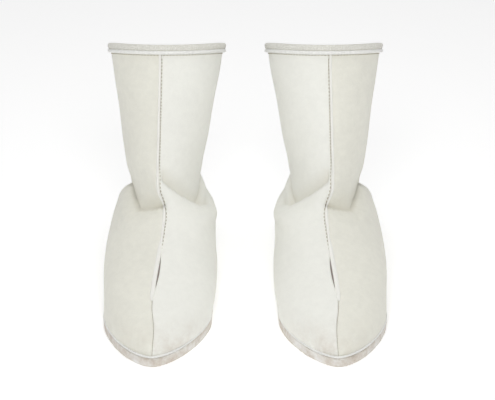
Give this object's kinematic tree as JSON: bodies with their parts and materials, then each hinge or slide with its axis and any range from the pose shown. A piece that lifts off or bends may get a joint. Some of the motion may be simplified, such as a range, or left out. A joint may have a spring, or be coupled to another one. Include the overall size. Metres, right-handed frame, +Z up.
{
  "type": "soft felt boots",
  "caption": "Matching soft ankle-high pull-on boots of felt with panelled uppers, a raised front seam, a bound collar, a creased ankle, a piped edge and a flat sole",
  "frame": {"origin": "on the floor at the middle of the pair's bounding box", "axes": "+Z up, toes towards -Y, the boots side by side along X with the wearer's right boot at -X"},
  "size_m": [0.2792, 0.3058, 0.2555],
  "materials": {
    "felt": "thick ivory felt, matt and faintly mottled",
    "sole_felt": "dense felt with scuffed, soiled edges",
    "insole_felt": "soft felt board",
    "knit_binding": "fine ribbed knit",
    "white_piping": "smooth white cord",
    "thread": "waxed sewing thread"
  },
  "bodies": {
    "right_foot": {"right_outsole": "sole_felt", "right_insole": "insole_felt", "right_sole_piping": "white_piping", "right_toe_seam_tape": "felt", "right_lateral_panel_foot": "felt", "right_medial_panel_foot": "felt", "right_front_welt_foot": "felt", "right_back_tape_foot": "felt", "right_front_thread_foot": "thread", "right_lateral_panel_ankle": "felt", "right_medial_panel_ankle": "felt", "right_front_welt_ankle": "felt", "right_back_tape_ankle": "felt", "right_front_thread_ankle": "thread"},
    "right_shaft": {"right_lateral_panel_shaft": "felt", "right_medial_panel_shaft": "felt", "right_front_welt_shaft": "felt", "right_back_tape_shaft": "felt", "right_front_thread_shaft": "thread", "right_collar_binding": "knit_binding", "right_collar_bead": "white_piping", "right_collar_thread": "thread"},
    "left_foot": {"left_outsole": "sole_felt", "left_insole": "insole_felt", "left_sole_piping": "white_piping", "left_toe_seam_tape": "felt", "left_lateral_panel_foot": "felt", "left_medial_panel_foot": "felt", "left_front_welt_foot": "felt", "left_back_tape_foot": "felt", "left_front_thread_foot": "thread", "left_lateral_panel_ankle": "felt", "left_medial_panel_ankle": "felt", "left_front_welt_ankle": "felt", "left_back_tape_ankle": "felt", "left_front_thread_ankle": "thread"},
    "left_shaft": {"left_lateral_panel_shaft": "felt", "left_medial_panel_shaft": "felt", "left_front_welt_shaft": "felt", "left_back_tape_shaft": "felt", "left_front_thread_shaft": "thread", "left_collar_binding": "knit_binding", "left_collar_bead": "white_piping", "left_collar_thread": "thread"}
  },
  "joints": [
    {"name": "right_ankle", "type": "hinge", "parent": "right_foot", "child": "right_shaft", "pos_m": [-0.0825, 0.06, 0.088], "axis": [1, 0, 0], "range_deg": [-12, 25], "stiffness_Nm_per_rad": 1.5, "deforming": ["right_lateral_panel_ankle", "right_medial_panel_ankle", "right_front_welt_ankle", "right_back_tape_ankle", "right_front_thread_ankle"]},
    {"name": "left_boot_lift", "type": "slide", "parent": "right_foot", "child": "left_foot", "axis": [0, 0, 1], "range_m": [0, 0.3]},
    {"name": "left_ankle", "type": "hinge", "parent": "left_foot", "child": "left_shaft", "pos_m": [0.0825, 0.06, 0.088], "axis": [1, 0, 0], "range_deg": [-12, 25], "stiffness_Nm_per_rad": 1.5, "deforming": ["left_lateral_panel_ankle", "left_medial_panel_ankle", "left_front_welt_ankle", "left_back_tape_ankle", "left_front_thread_ankle"]}
  ]
}
